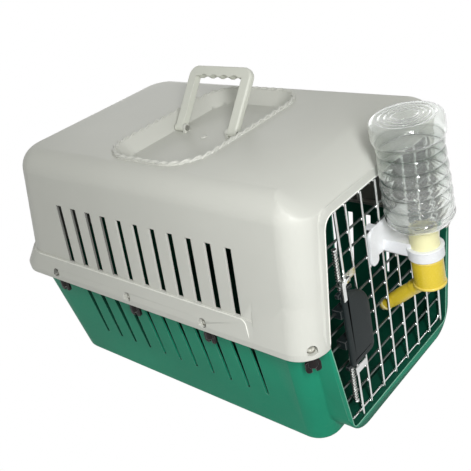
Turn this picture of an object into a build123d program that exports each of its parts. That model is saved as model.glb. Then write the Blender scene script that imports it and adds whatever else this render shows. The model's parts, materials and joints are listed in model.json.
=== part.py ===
from build123d import *
from math import atan2, degrees
import os

# A small pet carrier: a tub and a roof shell bolted together at a flange, a wire door with a
# squeeze latch at the front, a folding handle on the roof and a drinking bottle on the door.
# The origin is the middle of the flat base. +Z is up and the door faces -Y.

os.makedirs("parts", exist_ok=True)

# Driving sizes of the two shells, in millimetres
crate_length = 480.0
crate_width = 313.0
seam_height = 141.0
roof_height = 301.0
wall = 2.6

# Tub
base_side_taper = 31.0
base_front_taper = 24.0
base_back_taper = 34.0
base_edge = 6.0
base_front_corner = 26.0
base_back_corner = 36.0
tub_inset = 13.8
tub_front_corner = 34.0
tub_back_corner = 40.0
flange_thickness = 4.0
lip_height = 2.2
lip_thickness = 2.6
lip_gap = 0.4
flange_front_corner = 30.0
flange_back_corner = 44.0

# Roof shell
roof_inset = 5.7
roof_back_inset = 12.5
roof_side_taper = 14.1
roof_back_taper = 28.0
roof_front_step = 1.5
roof_back_corner = 42.0
roof_front_corner = 30.0
crown_radius = 28.0
fold_start = 8.0
fold_end = 40.0
fold_drop = 18.0
fold_rise = 1.0
skirt_start = 5.0
skirt_rise = 21.5
skirt_ledge = 2.4
flange_plate = 3.5
cheek_top = 200.0
cheek_sink = 1.0
cheek_run = 68.0
cheek_fade = 12.0
cheek_taper = 10.0

# Door opening, shared by both shells
opening_seam_margin = 19.8
opening_sill_margin = 20.5
opening_top_margin = 34.7
opening_top_drop = 30.5
opening_corner = 14.0
sill_top = 19.5
sill_bottom = 8.0
jamb_width = 6.0
jamb_depth = 12.0
lintel_rise = 9.5
frame_corner = 36.0

# Side vents
vent_count = 11
vent_front_margin = 90.0
vent_back_margin = 123.0
roof_vent_width = 9.2
roof_vent_rise = 27.0
roof_vent_drop = 58.0
tub_vent_top_width = 8.5
tub_vent_tip_width = 4.0
tub_vent_low = 51.0
tub_vent_drop = 14.0

# Recess in the roof, and the handle that folds into it
recess_side_margin = 32.7
recess_width = 132.0
recess_corner = 38.0
recess_slope = 12.0
recess_depth = 14.0
recess_centre = -13.0
bead_height = 1.8
rim_width = 5.0
boss_radius = 4.0
boss_height = 1.2
boss_place = (-8.0, -12.0)
handle_half_span = 48.0
handle_reach = 76.5
handle_bar = 13.0
handle_leg = 12.5
handle_thickness = 9.0
handle_corner = 13.0
handle_window_corner = 4.0
handle_tilt = 40.0
handle_centre = -11.0
grip_scallops = 4
grip_scallop_radius = 8.5
grip_scallop_depth = 2.2
handle_edge = 2.6
ear_thickness = 3.2
ear_half_width = 4.8
handle_play = 0.4
pin_radius = 2.3
pin_head_radius = 3.4
pin_head = 1.2
pin_recess = 0.8
running_play = 0.05
seat_play = 0.02

# Flange fasteners
bolt_radius = 2.4
bolt_play = 0.2
bolt_edge_margin = 7.5
bolt_back_margin = 89.0
bolt_middle = 17.0
bolt_front_margin = 138.0
corner_bolt_side_margin = 17.5
corner_bolt_front_margin = 12.0
bolt_head_radius = 4.4
bolt_head_height = 2.9
washer_radius = 4.7
washer_thickness = 0.8
bolt_slot_width = 1.1
bolt_slot_depth = 1.2
pocket_radius = 5.4
pocket_height = 9.5
pocket_run = 16.0
nut_hub_radius = 5.0
nut_height = 11.0
nut_play = 0.05
nut_wing_span = 16.0
nut_wing_thickness = 3.2
nut_wing_start = 5.0
nut_wing_end = 18.0
bolt_tail = 2.0

# Wire door
wire_radius = 1.5
hinge_rod_radius = 1.75
door_side_gap = 2.5
door_bottom_gap = 1.2
door_top_gap = 5.0
hinge_margin = 2.6
first_wire_step = 19.9
upright_count = 6
bars_below = (0.1539, 0.3827, 0.5926, 0.7531)
bars_above = (0.1444, 0.3591, 0.5560, 0.7066)
bar_shift = 1.9
door_inset = 6.0
frame_bend = 9.0
weld_bite = 0.04
hinge_depth = 8.0
hinge_play = 0.06
socket_floor_gap = 0.3

# Squeeze latch
latch_margin = 19.5
latch_rod_radius = 1.6
leg_step = 9.0
leg_bar_gap = 0.3
leg_share_below = 0.7782
leg_share_above = 0.7072
link_reach = 32.0
latch_throw = 8.0
latch_start_gap = 0.5
latch_hole_play = 0.35
latch_drop = 2.0
rod_inner_gap = 5.0
plate_reach_left = 21.0
plate_width = 50.0
plate_half_height = 51.0
plate_thickness = 3.0
plate_corner = 19.0
plate_low_corner = 7.0
plate_gap = 1.3
plate_edge = 1.2
guide_thickness = 9.0
guide_bars = (3, 5)
guide_play = 0.12
guide_reach_left = 17.0
guide_width = 23.5
guide_back = 1.2
stop_thickness = 4.0
stop_reach = 46.0
stop_depth = 4.0
spring_wire = 0.5
spring_play = 0.15
spring_turns = 13
foot_thickness = 2.0
pad_thickness = 1.5
pad_reach_left = 5.5
pad_width = 21.0
pad_gap = 1.0
pad_height = 8.0
pad_bite = 0.35
pad_tail_reach = 14.5
pad_tail_width = 5.0
pad_tail_drop = 22.0
pad_tail_gap = 0.4
pad_bridge = 5.0

# Drinking bottle and its holder
dispenser_bay = 2
dispenser_shift = -4.5
dispenser_rise = 59.7
dispenser_reach = 47.0
dispenser_lean = 2.0
dispenser_tilt = 1.5
bottle_radius = 35.0
bottle_wall = 0.9
bottle_base = 168.0
bottle_body_low = 66.0
shoulder_low = 46.5
rib_count = 6
rib_depth = 1.7
rib_run = 9.0
bottle_heel = 7.0
dimple_radius = 13.0
dimple_depth = 5.0
neck_radius = 11.5
socket_radius = 14.6
socket_wall = 2.8
socket_top = 45.0
socket_floor = 27.0
socket_bottom = 18.0
socket_web = 2.4
seal_thickness = 1.6
seal_bore = 5.0
collar_radius = 18.2
collar_top = 25.4
collar_bottom = 13.0
cup_radius = 16.0
cup_bottom = -22.0
cup_wall = 2.2
cup_corner = 3.0
spigot_radius = 8.2
spigot_length = 24.0
holder_reach_left = 36.0
holder_reach_right = 40.0
holder_lift = 8.5
holder_corner = 9.0
holder_thickness = 3.0
lobe_width = 13.0
lobe_drop = 8.0
lobe_corner = 5.0
arm_half_width = 12.0
arm_top = 29.0
arm_bottom = 14.5
hook_width = 10.0
hook_bays = (1, 3)
hook_bar = 7
hook_wall = 2.0
hook_drop = 6.0
hook_play = 0.1
tube_radius = 6.6
tube_bore = 4.4
tube_fall = 41.0
tube_place = -15.0
tube_entry = 9.0
tube_length = 75.0
nozzle_length = 16.0
nozzle_lap = 12.0
nozzle_lip = 1.2
nozzle_radius = 5.6
nozzle_bore = 2.6
ball_radius = 3.0
ball_play = 0.25
ball_rest_gap = 0.03

# Sizes worked out from the driving ones
front = -crate_length / 2
back = crate_length / 2
half_width = crate_width / 2
lip_bottom = seam_height - lip_height
plate_top = seam_height + flange_plate
base_half_width = half_width - base_side_taper
base_front = front + base_front_taper
base_back = back - base_back_taper
tub_half_width = half_width - tub_inset
tub_front = front + tub_inset - 2 * roof_front_step
tub_back = back - tub_inset + roof_front_step
roof_half_width = half_width - roof_inset
roof_back = back - roof_back_inset
roof_front = front + roof_front_step
roof_top_half_width = roof_half_width - roof_side_taper
roof_top_back = roof_back - roof_back_taper
skirt_low = seam_height + skirt_start
skirt_high = skirt_low + skirt_rise
opening_seam_half_width = tub_half_width - opening_seam_margin
opening_sill_half_width = base_half_width - opening_sill_margin
opening_top_half_width = roof_top_half_width - opening_top_margin
opening_top = roof_height - opening_top_drop
recess_length = 2 * (roof_top_half_width - recess_side_margin)
recess_floor = roof_height - recess_depth
door_plane = front + door_inset
bolt_x = latch_margin - opening_top_half_width
hinge_x = opening_top_half_width - hinge_margin
first_wire = bolt_x + first_wire_step
wire_pitch = (hinge_x - first_wire) / upright_count
upright_y = door_plane - wire_radius + weld_bite / 2
bar_y = door_plane + wire_radius - weld_bite / 2
hinge_y = bar_y - wire_radius - hinge_rod_radius + weld_bite
door_front = upright_y - wire_radius
door_bottom = sill_top + door_bottom_gap
door_top = opening_top - door_top_gap
bar_middle = seam_height + bar_shift
bar_heights = [bar_middle - share * (seam_height - sill_top) for share in reversed(bars_below)]
bar_heights += [bar_middle]
bar_heights += [bar_middle + share * (opening_top - seam_height) for share in bars_above]
spring_radius = latch_rod_radius + spring_play + spring_wire
latch_y = door_plane - leg_bar_gap - spring_radius - spring_wire
latch_hole_radius = latch_rod_radius + latch_hole_play
latch_middle = seam_height - latch_drop
leg_x = bolt_x - leg_step
reach_below = leg_share_below * (latch_middle - sill_top)
reach_above = leg_share_above * (opening_top - latch_middle)
tip_below = latch_middle - sill_top - latch_start_gap
tip_above = opening_top - latch_start_gap - latch_middle
socket_depth = latch_throw + latch_start_gap


def opening_half_width(height):
    """Half the width of the door opening at a height: straight from sill to seam and from seam to top."""
    if height <= seam_height:
        share = (height - sill_top) / (seam_height - sill_top)
        return opening_sill_half_width + share * (opening_seam_half_width - opening_sill_half_width)
    share = (height - seam_height) / (opening_top - seam_height)
    return opening_seam_half_width + share * (opening_top_half_width - opening_seam_half_width)


def plan_outline(half, front_y, back_y, front_corner, back_corner):
    """A level rectangle with one corner radius at the front and another at the back."""
    with BuildSketch(Plane.XY) as outline:
        with Locations((0, (front_y + back_y) / 2)):
            Rectangle(2 * half, back_y - front_y)
        fillet(outline.vertices().group_by(Axis.Y)[0], front_corner)
        fillet(outline.vertices().group_by(Axis.Y)[-1], back_corner)
    return outline.sketch


def tapered_block(low, low_outline, high, high_outline):
    """A block between two level outlines at two heights."""
    with BuildPart() as block:
        with BuildSketch(Plane.XY.offset(low)):
            add(low_outline)
        with BuildSketch(Plane.XY.offset(high)):
            add(high_outline)
        loft()
    return block.part


def level_slab(low, high, outline):
    """A slab of one outline between two heights."""
    with BuildPart() as slab:
        with BuildSketch(Plane.XY.offset(low)):
            add(outline)
        extrude(amount=high - low)
    return slab.part


def front_slab(outline, start, depth):
    """A slab of an upright outline that faces the front, from one plane towards the back."""
    with BuildPart() as slab:
        with BuildSketch(Plane.XZ.offset(-start)):
            add(outline)
        extrude(amount=-depth)
    return slab.part


def rod(x, y, low, high, radius):
    """An upright cylinder between two heights."""
    with BuildPart() as cylinder:
        with BuildSketch(Plane.XY.offset(low)):
            with Locations((x, y)):
                Circle(radius)
        extrude(amount=high - low)
    return cylinder.part


def block(x_low, x_high, y_low, y_high, z_low, z_high):
    """A square-edged block between two corners."""
    with BuildPart() as solid:
        with Locations(((x_low + x_high) / 2, (y_low + y_high) / 2, (z_low + z_high) / 2)):
            Box(x_high - x_low, y_high - y_low, z_high - z_low)
    return solid.part


def swept_tube(outer, inner, start, end):
    """A round tube along its own axis between two distances, solid where the inner radius is 0."""
    with BuildPart() as tube:
        with BuildSketch(Plane.XY.offset(start)):
            Circle(outer)
            if inner > 0:
                Circle(inner, mode=Mode.SUBTRACT)
        extrude(amount=end - start)
    return tube.part


def tub_outline(inset, share):
    """The tub's outline, inset from its outer face: share 0 is the base and share 1 the seam."""
    return plan_outline(
        base_half_width + share * (tub_half_width - base_half_width) - inset,
        base_front + share * (tub_front - base_front) + inset,
        base_back + share * (tub_back - base_back) - inset,
        base_front_corner + share * (tub_front_corner - base_front_corner) - inset,
        base_back_corner + share * (tub_back_corner - base_back_corner) - inset)


def flange_outline(inset):
    """The outline of the flange and its lip, inset from the lip's outer edge."""
    return plan_outline(half_width - inset, front + inset, back - inset,
                        flange_front_corner - inset, flange_back_corner - inset)


def roof_outline(inset, height):
    """The roof's outline at a height, inset from its outer face."""
    share = (height - seam_height) / (roof_height - seam_height)
    return plan_outline(
        roof_half_width + share * (roof_top_half_width - roof_half_width) - inset,
        roof_front + inset,
        roof_back + share * (roof_top_back - roof_back) - inset,
        roof_front_corner - inset, roof_back_corner - inset)


def roof_form(inset, low):
    """The domed roof from a height upwards, inset from its outer face, with its front top edge cut away."""
    run = fold_end - fold_start
    rise = fold_rise + fold_drop
    start = front + fold_start
    end = front + fold_end
    with BuildPart() as form:
        add(tapered_block(low, roof_outline(inset, low), roof_height - inset,
                          roof_outline(inset, roof_height)))
        fillet(form.faces().sort_by(Axis.Z)[-1].edges(), crown_radius - inset)
        with BuildSketch(Plane.YZ.offset(-half_width)):
            Polygon((start - run, roof_height - fold_drop - rise - inset), (start - run, roof_height + run),
                    (end + run, roof_height + run), (end + run, roof_height + fold_rise + rise - inset),
                    align=None)
        extrude(amount=crate_width, mode=Mode.SUBTRACT)
    return form.part


def opening_outline(margin, low, high, low_corner, high_corner):
    """The outline of the door opening between two heights, widened by a margin."""
    low_half = opening_half_width(low) + margin
    high_half = opening_half_width(min(high, opening_top)) + margin
    points = [(-low_half, low), (low_half, low)]
    if low < seam_height < high:
        points += [(opening_seam_half_width + margin, seam_height)]
    points += [(high_half, high), (-high_half, high)]
    if low < seam_height < high:
        points += [(-opening_seam_half_width - margin, seam_height)]
    with BuildSketch(Plane.XY) as outline:
        Polygon(*points, align=None)
        if low_corner > 0:
            fillet(outline.vertices().group_by(Axis.Y)[0], low_corner)
        if high_corner > 0:
            fillet(outline.vertices().group_by(Axis.Y)[-1], high_corner)
    return outline.sketch


def cheek_outline(half, front_y, corner):
    """The outline of the flared front of the roof shell, which narrows at its back end."""
    with BuildSketch(Plane.XY) as outline:
        Polygon((-half, front_y), (half, front_y), (half, front + cheek_run),
                (half - cheek_taper, front + cheek_run + cheek_fade),
                (cheek_taper - half, front + cheek_run + cheek_fade), (-half, front + cheek_run), align=None)
        fillet(outline.vertices().group_by(Axis.Y)[0], corner)
    return outline.sketch


vent_first = front + vent_front_margin
vent_pitch = (back - vent_back_margin - vent_first) / (vent_count - 1)
vent_stations = [vent_first + step * vent_pitch for step in range(vent_count)]

# Each flange bolt as x, y and the direction that it faces outwards
corner_turn = degrees(atan2(corner_bolt_front_margin - flange_front_corner,
                            flange_front_corner - corner_bolt_side_margin))
corner_bolt_x = half_width - corner_bolt_side_margin
corner_bolt_y = front + corner_bolt_front_margin
bolt_line = half_width - bolt_edge_margin
bolt_stations = (back - bolt_back_margin, bolt_middle, front + bolt_front_margin)
bolt_places = [Location((bolt_line, station, plate_top), (0, 0, 0)) for station in bolt_stations]
bolt_places += [Location((-bolt_line, station, plate_top), (0, 0, 180)) for station in bolt_stations]
bolt_places += [Location((corner_bolt_x, corner_bolt_y, plate_top), (0, 0, corner_turn)),
                Location((-corner_bolt_x, corner_bolt_y, plate_top), (0, 0, 180 - corner_turn))]

# Tub: a tapered box with a flange, vents and a raised frame round the lower half of the door
frame_top = lip_bottom - lip_gap
frame_depth = base_front - front + wall
tub_vent_high = seam_height - tub_vent_drop
with BuildPart() as tub_hollow:
    add(tapered_block(wall, tub_outline(wall, 0), seam_height, tub_outline(wall, 1)))
    fillet(tub_hollow.edges().group_by(Axis.Z)[0], base_edge - wall)
with BuildPart() as tub:
    add(tapered_block(0, tub_outline(0, 0), seam_height, tub_outline(0, 1)))
    fillet(tub.edges().group_by(Axis.Z)[0], base_edge)
    add(front_slab(opening_outline(jamb_width, sill_bottom, frame_top, frame_corner, 0), front,
                   frame_depth))
    add(level_slab(seam_height - flange_thickness, seam_height, flange_outline(lip_thickness + lip_gap)))
    add(tub_hollow.part, mode=Mode.SUBTRACT)
    add(front_slab(opening_outline(0, sill_top, seam_height, opening_corner - jamb_width, 0), front,
                   frame_depth), mode=Mode.SUBTRACT)
    with BuildSketch(Plane.YZ.offset(-half_width)):
        for station in vent_stations:
            Polygon((station - tub_vent_tip_width / 2, tub_vent_low),
                    (station + tub_vent_tip_width / 2, tub_vent_low),
                    (station + tub_vent_top_width / 2, tub_vent_high),
                    (station - tub_vent_top_width / 2, tub_vent_high), align=None)
    extrude(amount=crate_width, mode=Mode.SUBTRACT)
    for place in bolt_places:
        add(rod(place.position.X, place.position.Y, seam_height - flange_thickness, seam_height,
                bolt_radius + bolt_play), mode=Mode.SUBTRACT)
    add(rod(hinge_x, hinge_y, sill_top - hinge_depth - socket_floor_gap, sill_top + opening_corner,
            hinge_rod_radius + hinge_play), mode=Mode.SUBTRACT)
    add(rod(bolt_x, latch_y, sill_top - socket_depth, sill_top, latch_hole_radius), mode=Mode.SUBTRACT)
tub.part.label = "tub"
export_step(tub.part, "parts/tub.step")

# Roof shell: a dome with a sloping skirt over the flange, vents, the top of the door frame and a recess
roof_vent_low = seam_height + roof_vent_rise
roof_vent_high = roof_height - roof_vent_drop
ledge_half = roof_half_width + (skirt_high - seam_height) / (roof_height - seam_height) * (
    roof_top_half_width - roof_half_width) + skirt_ledge
cheek_half = roof_half_width - cheek_sink + (cheek_top - seam_height) / (roof_height - seam_height) * (
    roof_top_half_width - roof_half_width)
ledge_back = roof_back + (skirt_high - seam_height) / (roof_height - seam_height) * (
    roof_top_back - roof_back) + skirt_ledge
with BuildPart() as roof_envelope:
    add(roof_form(0, seam_height))
    add(level_slab(seam_height, skirt_low, flange_outline(0)))
    add(tapered_block(skirt_low, flange_outline(0), skirt_high,
                      plan_outline(ledge_half, roof_front, ledge_back, roof_front_corner,
                                   roof_back_corner)))
    add(tapered_block(skirt_low, cheek_outline(half_width, front, flange_front_corner), cheek_top,
                      cheek_outline(cheek_half, roof_front + cheek_sink, roof_front_corner - cheek_sink)))

with BuildPart() as pocket_bosses:
    for place in bolt_places:
        add(rod(place.position.X, place.position.Y, seam_height, plate_top + pocket_height + wall,
                pocket_radius + wall))
    add(roof_envelope.part, mode=Mode.INTERSECT)

with BuildPart() as pocket:
    with BuildSketch(Plane.YZ.offset(-pocket_radius)):
        with Locations((0, pocket_height - pocket_radius)):
            Circle(pocket_radius)
        with Locations((0, (pocket_height - pocket_radius) / 2)):
            Rectangle(2 * pocket_radius, pocket_height - pocket_radius)
    extrude(amount=pocket_radius + pocket_run)

with BuildPart() as roof_shell:
    add(roof_envelope.part)
    add(roof_form(wall, plate_top), mode=Mode.SUBTRACT)
    add(level_slab(seam_height, plate_top, tub_outline(wall, 1)), mode=Mode.SUBTRACT)
    add(level_slab(lip_bottom, seam_height, flange_outline(0)))
    add(level_slab(lip_bottom, seam_height, flange_outline(lip_thickness)), mode=Mode.SUBTRACT)
    add(pocket_bosses.part)
    add(front_slab(opening_outline(jamb_width, seam_height, opening_top + lintel_rise, 0,
                                   opening_corner), front, jamb_depth))
    with BuildSketch(Plane.XY.offset(recess_floor - wall)):
        with Locations((0, recess_centre)):
            RectangleRounded(recess_length, recess_width, recess_corner)
    extrude(amount=recess_depth)
    with BuildSketch(Plane.XY.offset(roof_height)):
        with Locations((0, recess_centre)):
            RectangleRounded(recess_length + 2 * rim_width, recess_width + 2 * rim_width,
                             recess_corner + rim_width)
    extrude(amount=bead_height)
    with BuildSketch(Plane.XY.offset(recess_floor)):
        with Locations((0, recess_centre)):
            RectangleRounded(recess_length - 2 * recess_slope, recess_width - 2 * recess_slope,
                             recess_corner - recess_slope)
    with BuildSketch(Plane.XY.offset(roof_height + bead_height)):
        with Locations((0, recess_centre)):
            RectangleRounded(recess_length, recess_width, recess_corner)
    loft(mode=Mode.SUBTRACT)
    add(rod(boss_place[0], boss_place[1], recess_floor, recess_floor + boss_height, boss_radius))
    for place in bolt_places:
        add(pocket.part.moved(place), mode=Mode.SUBTRACT)
        add(rod(place.position.X, place.position.Y, seam_height, plate_top, bolt_radius + bolt_play),
            mode=Mode.SUBTRACT)
    add(front_slab(opening_outline(0, lip_bottom, opening_top, 0, opening_corner), front, frame_depth),
        mode=Mode.SUBTRACT)
    with BuildSketch(Plane.YZ.offset(-half_width)):
        for station in vent_stations:
            with Locations((station, (roof_vent_low + roof_vent_high) / 2)):
                Rectangle(roof_vent_width, roof_vent_high - roof_vent_low)
    extrude(amount=crate_width, mode=Mode.SUBTRACT)
    add(rod(hinge_x, hinge_y, opening_top - opening_corner,
            opening_top + hinge_depth + socket_floor_gap, hinge_rod_radius + hinge_play),
        mode=Mode.SUBTRACT)
    add(rod(bolt_x, latch_y, opening_top, opening_top + socket_depth, latch_hole_radius),
        mode=Mode.SUBTRACT)
roof_shell.part.label = "roof_shell"
export_step(roof_shell.part, "parts/roof_shell.step")

# Ears in the recess, with the handle's two pivot pins
pivot_height = recess_floor + handle_thickness / 2 + handle_play
leg_inner = handle_half_span - handle_leg
with BuildPart() as handle_ears:
    for side in (-1, 1):
        inner = leg_inner - handle_play - ear_thickness
        with BuildSketch(Plane.XZ.offset(-handle_centre - side * inner)):
            with Locations((0, pivot_height)):
                Circle(ear_half_width)
            with Locations((0, (recess_floor + pivot_height) / 2)):
                Rectangle(2 * ear_half_width, pivot_height - recess_floor)
        extrude(amount=-side * ear_thickness)
    with BuildSketch(Plane.XZ.offset(-handle_centre - handle_half_span)):
        with Locations((0, pivot_height)):
            Circle(pin_radius + seat_play)
    extrude(amount=2 * handle_half_span, mode=Mode.SUBTRACT)
handle_ears.part.label = "handle_ears"
export_step(handle_ears.part, "parts/handle_ears.step")

with BuildPart() as handle_pins:
    for side in (-1, 1):
        head = leg_inner - handle_play - ear_thickness - pin_head
        shank = handle_half_span - pin_recess - head
        with BuildSketch(Plane.XZ.offset(-handle_centre - side * head)):
            with Locations((0, pivot_height)):
                Circle(pin_head_radius)
        extrude(amount=-side * pin_head)
        with BuildSketch(Plane.XZ.offset(-handle_centre - side * head)):
            with Locations((0, pivot_height)):
                Circle(pin_radius)
        extrude(amount=-side * shank)
handle_pins.part.label = "handle_pins"
export_step(handle_pins.part, "parts/handle_pins.step")

# Carrying handle, drawn upright and then tilted about its pivots
grip_under = handle_reach - handle_bar
scallop_pitch = 2 * (leg_inner - handle_window_corner) / grip_scallops
with BuildPart() as carry_handle:
    with BuildSketch(Plane.YZ.offset(-handle_thickness / 2)) as handle_face:
        with Locations((0, handle_reach / 2)):
            Rectangle(2 * handle_half_span, handle_reach)
        fillet(handle_face.vertices().group_by(Axis.Y)[-1], handle_corner)
    extrude(amount=handle_thickness)
    fillet(carry_handle.edges().filter_by(Axis.X, reverse=True).filter_by(
        lambda edge: edge.center().Z > handle_edge), handle_edge)
    with BuildSketch(Plane.XZ.offset(-handle_half_span)):
        Circle(handle_thickness / 2)
    extrude(amount=2 * handle_half_span)
    with BuildSketch(Plane.YZ.offset(-handle_thickness / 2)):
        with Locations((0, (grip_under - handle_thickness) / 2)):
            Rectangle(2 * leg_inner, grip_under + handle_thickness)
        for step in range(grip_scallops):
            with Locations(((step - (grip_scallops - 1) / 2) * scallop_pitch,
                            grip_under + grip_scallop_depth - grip_scallop_radius)):
                Circle(grip_scallop_radius)
    extrude(amount=handle_thickness, mode=Mode.SUBTRACT)
    with BuildSketch(Plane.XZ.offset(-handle_half_span)):
        Circle(pin_radius + running_play)
    extrude(amount=2 * handle_half_span, mode=Mode.SUBTRACT)
with BuildPart() as handle_at_rest:
    add(carry_handle.part.moved(
        Location((0, handle_centre, pivot_height)) * Location((0, 0, 0), (0, handle_tilt, 0))))
handle_at_rest.part.label = "carry_handle"
export_step(handle_at_rest.part, "parts/carry_handle.step")

# Flange fasteners: screws with washers in the pockets, and wing nuts under the flange
with BuildPart() as one_bolt:
    add(rod(0, 0, washer_thickness, washer_thickness + bolt_head_height, bolt_head_radius))
    fillet(one_bolt.edges().group_by(Axis.Z)[-1], bolt_head_height / 2)
    add(rod(0, 0, -flange_plate - flange_thickness - nut_height - bolt_tail, washer_thickness,
            bolt_radius))
    with Locations((0, 0, washer_thickness + bolt_head_height - bolt_slot_depth / 2)):
        Box(2 * bolt_head_radius, bolt_slot_width, bolt_slot_depth, mode=Mode.SUBTRACT)
with BuildPart() as flange_bolts:
    for place in bolt_places:
        add(one_bolt.part.moved(place))
flange_bolts.part.label = "flange_bolts"
export_step(flange_bolts.part, "parts/flange_bolts.step")

with BuildPart() as bolt_washers:
    for place in bolt_places:
        add(swept_tube(washer_radius, bolt_radius + bolt_play, 0, washer_thickness).moved(place))
bolt_washers.part.label = "bolt_washers"
export_step(bolt_washers.part, "parts/bolt_washers.step")

nut_top = -flange_plate - flange_thickness
with BuildPart() as one_nut:
    add(rod(0, 0, nut_top - nut_height, nut_top, nut_hub_radius))
    with Locations((0, 0, nut_top - (nut_wing_start + nut_wing_end) / 2)):
        Box(nut_wing_thickness, nut_wing_span, nut_wing_end - nut_wing_start)
    fillet(one_nut.edges().filter_by(Axis.X), nut_wing_thickness)
    add(rod(0, 0, nut_top - 2 * nut_height, nut_top, bolt_radius + nut_play), mode=Mode.SUBTRACT)
with BuildPart() as wing_nuts:
    for place in bolt_places:
        add(one_nut.part.moved(place))
wing_nuts.part.label = "wing_nuts"
export_step(wing_nuts.part, "parts/wing_nuts.step")

# Wire door: an outer wire and cross wires in one layer, uprights and the hinge rod in front of them
frame_low = door_bottom + wire_radius
frame_high = door_top - wire_radius
frame_inset = door_side_gap + wire_radius
with BuildPart() as door_frame_wire:
    with BuildLine(Plane.XZ.offset(-bar_y)) as frame_path:
        low_half = opening_half_width(frame_low) - frame_inset
        mid_half = opening_seam_half_width - frame_inset
        high_half = opening_half_width(frame_high) - frame_inset
        FilletPolyline((low_half, frame_low), (mid_half, seam_height), (high_half, frame_high),
                       (-high_half, frame_high), (-mid_half, seam_height), (-low_half, frame_low),
                       radius=frame_bend, close=True)
    with BuildSketch(Plane(origin=frame_path.line @ 0, z_dir=frame_path.line % 0)):
        Circle(wire_radius)
    sweep(path=frame_path.line)
door_frame_wire.part.label = "door_frame_wire"
export_step(door_frame_wire.part, "parts/door_frame_wire.step")

with BuildPart() as horizontal_wires:
    for height in bar_heights:
        reach = opening_half_width(height) - frame_inset - wire_radius + weld_bite
        with BuildSketch(Plane.YZ.offset(-reach)):
            with Locations((bar_y, height)):
                Circle(wire_radius)
        extrude(amount=2 * reach)
horizontal_wires.part.label = "horizontal_wires"
export_step(horizontal_wires.part, "parts/horizontal_wires.step")

with BuildPart() as vertical_wires:
    for step in range(upright_count):
        add(rod(first_wire + step * wire_pitch, upright_y, door_bottom, door_top, wire_radius))
vertical_wires.part.label = "vertical_wires"
export_step(vertical_wires.part, "parts/vertical_wires.step")

with BuildPart() as hinge_rod:
    add(rod(hinge_x, hinge_y, sill_top - hinge_depth, opening_top + hinge_depth, hinge_rod_radius))
hinge_rod.part.label = "hinge_rod"
export_step(hinge_rod.part, "parts/hinge_rod.step")

# Latch: each half is drawn pointing up from the middle, and the lower one is then turned down
plate_back = latch_y - latch_rod_radius - plate_gap
plate_front = plate_back - plate_thickness
plate_left = bolt_x - plate_reach_left
pad_start = plate_half_height + pad_gap
pad_end = pad_start + pad_height
pad_left = bolt_x - pad_reach_left
pad_back = latch_y - latch_rod_radius + pad_bite
tail_left = bolt_x - pad_tail_reach
tail_back = plate_front - pad_tail_gap
spring_start = stop_reach + spring_wire


def latch_half(tip, reach, tail_drop):
    """One bolt with its spring leg and finger piece, pointing up, measured from the latch's middle."""
    with BuildPart() as bolt:
        add(rod(bolt_x, latch_y, rod_inner_gap, tip, latch_rod_radius))
        add(rod(leg_x, latch_y, link_reach, reach, latch_rod_radius))
        add(rod(leg_x, latch_y, reach - foot_thickness, reach, spring_radius + spring_wire))
        with BuildSketch(Plane.YZ.offset(leg_x)):
            with Locations((latch_y, link_reach)):
                Circle(latch_rod_radius)
        extrude(amount=bolt_x - leg_x)
        with Locations((leg_x, latch_y, link_reach)):
            Sphere(latch_rod_radius)
        add(block(pad_left, pad_left + pad_width, pad_back - pad_thickness, pad_back, pad_start, pad_end))
        if tail_drop > 0:
            add(block(pad_left, pad_left + pad_tail_width, tail_back - pad_thickness, pad_back,
                      pad_end - pad_bridge, pad_end))
            add(block(tail_left, pad_left + pad_tail_width, tail_back - pad_thickness,
                      latch_y - spring_radius - spring_wire - leg_bar_gap, pad_end - pad_bridge, pad_end))
            add(block(tail_left, tail_left + pad_tail_width, tail_back - pad_thickness,
                      tail_back, pad_end - tail_drop, pad_end))
    return bolt.part


def latch_spring(reach):
    """The coil spring between the stop and the foot of one leg, measured from the latch's middle."""
    length = reach - foot_thickness - spring_wire - spring_start
    with BuildPart() as spring:
        with BuildLine() as coil:
            Helix(length / spring_turns, length, spring_radius, center=(leg_x, latch_y, spring_start))
        with BuildSketch(Plane(origin=coil.line @ 0, z_dir=coil.line % 0)):
            Circle(spring_wire)
        sweep(path=coil.line, is_frenet=True)
    return spring.part


def set_up(shape):
    """A latch piece in its place above the latch's middle."""
    return shape.moved(Location((0, 0, latch_middle)))


def set_down(shape):
    """The mirror image of a latch piece, in its place below the latch's middle."""
    return shape.mirror(Plane.XY).moved(Location((0, 0, latch_middle)))


with BuildPart() as lower_latch_bolt:
    add(set_down(latch_half(tip_below, reach_below, 0)))
lower_latch_bolt.part.label = "lower_latch_bolt"
export_step(lower_latch_bolt.part, "parts/lower_latch_bolt.step")

with BuildPart() as upper_latch_bolt:
    add(set_up(latch_half(tip_above, reach_above, pad_tail_drop)))
upper_latch_bolt.part.label = "upper_latch_bolt"
export_step(upper_latch_bolt.part, "parts/upper_latch_bolt.step")

with BuildPart() as lower_latch_spring:
    add(set_down(latch_spring(reach_below)))
lower_latch_spring.part.label = "lower_latch_spring"
export_step(lower_latch_spring.part, "parts/lower_latch_spring.step")

with BuildPart() as upper_latch_spring:
    add(set_up(latch_spring(reach_above)))
upper_latch_spring.part.label = "upper_latch_spring"
export_step(upper_latch_spring.part, "parts/upper_latch_spring.step")

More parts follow.
